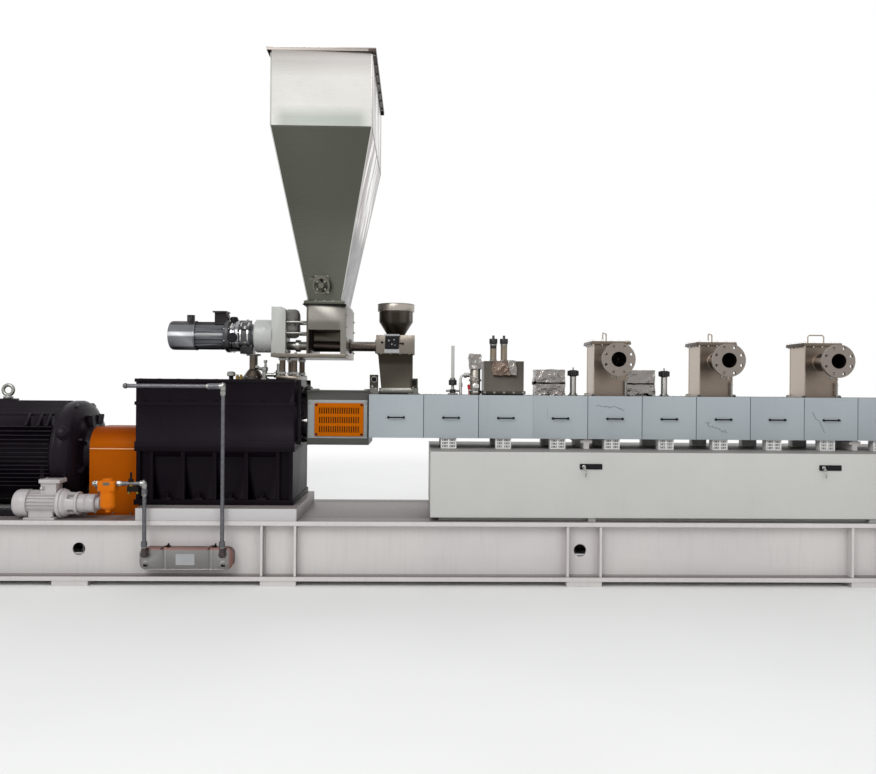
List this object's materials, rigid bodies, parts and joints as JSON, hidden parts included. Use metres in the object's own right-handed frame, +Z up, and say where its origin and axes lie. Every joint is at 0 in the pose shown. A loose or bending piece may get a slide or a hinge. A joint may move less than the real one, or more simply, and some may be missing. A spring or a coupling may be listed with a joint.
{
  "type": "twin-screw plastic extruder line",
  "caption": "Twin-screw compounding extruder on a welded base, with motor, gearbox, covered barrel, vent stacks, screw feeder and tall supply hopper.",
  "frame": {"origin": "on the floor under the middle of the base frame, below the barrel centreline", "axes": "+X along the machine to the discharge end, +Y to the rear, +Z up"},
  "size_m": [7.9, 1.27, 3.581],
  "materials": {
    "base_paint": "satin white machine paint",
    "motor_paint": "satin black paint over cast fins",
    "gearbox_paint": "satin blue-black paint",
    "safety_orange": "semi-gloss orange paint",
    "pump_paint": "gloss cream paint",
    "galvanised": "galvanised steel",
    "stainless": "brushed stainless sheet",
    "warm_stainless": "ground stainless steel",
    "lantern_paint": "grey-green machine paint",
    "cover_paint": "light blue-grey powder coat",
    "trunk_paint": "off-white powder coat",
    "steel": "machined steel",
    "black_plastic": "moulded black plastic",
    "white_plastic": "moulded white plastic",
    "feeder_paint": "light grey-green paint",
    "feeder_silver": "silver-grey motor paint",
    "foil": "crumpled foil"
  },
  "bodies": {
    "root": {"base_front_beam": "base_paint", "base_rear_beam": "base_paint", "base_cross_members": "base_paint", "base_deck": "base_paint", "gearbox_pedestal": "base_paint", "motor_frame": "motor_paint", "motor_end_shield": "motor_paint", "motor_fan_cowl": "motor_paint", "motor_lifting_eye": "steel", "coupling_guard": "safety_orange", "gearbox_lower": "gearbox_paint", "gearbox_upper": "gearbox_paint", "gearbox_output_flange": "gearbox_paint", "oil_pump_motor": "pump_paint", "oil_pump": "pump_paint", "oil_filter": "safety_orange", "oil_pipes": "galvanised", "oil_cooler": "stainless", "lantern_housing": "lantern_paint", "lantern_guard": "safety_orange", "barrel": "steel", "discharge_flange": "steel", "front_covers": "cover_paint", "rear_covers": "cover_paint", "cover_handles": "black_plastic", "barrel_supports": "base_paint", "cooling_manifold": "white_plastic", "trunk_cabinet": "trunk_paint", "trunk_locks": "black_plastic", "feeder_motor": "feeder_silver", "feeder_drive": "feeder_silver", "feeder_gear_block": "feeder_paint", "feeder_stand": "stainless", "feeder_chamber": "stainless", "feeder_screw_tube": "stainless", "feeder_tie_rods": "steel", "supply_hopper": "stainless", "hopper_vibrator": "feeder_silver", "feed_hopper": "stainless", "feed_chute": "stainless", "vent_stacks": "warm_stainless", "vent_lids": "warm_stainless", "clamp_posts": "steel", "side_port": "steel", "port_plugs": "foil"}
  },
  "joints": []
}
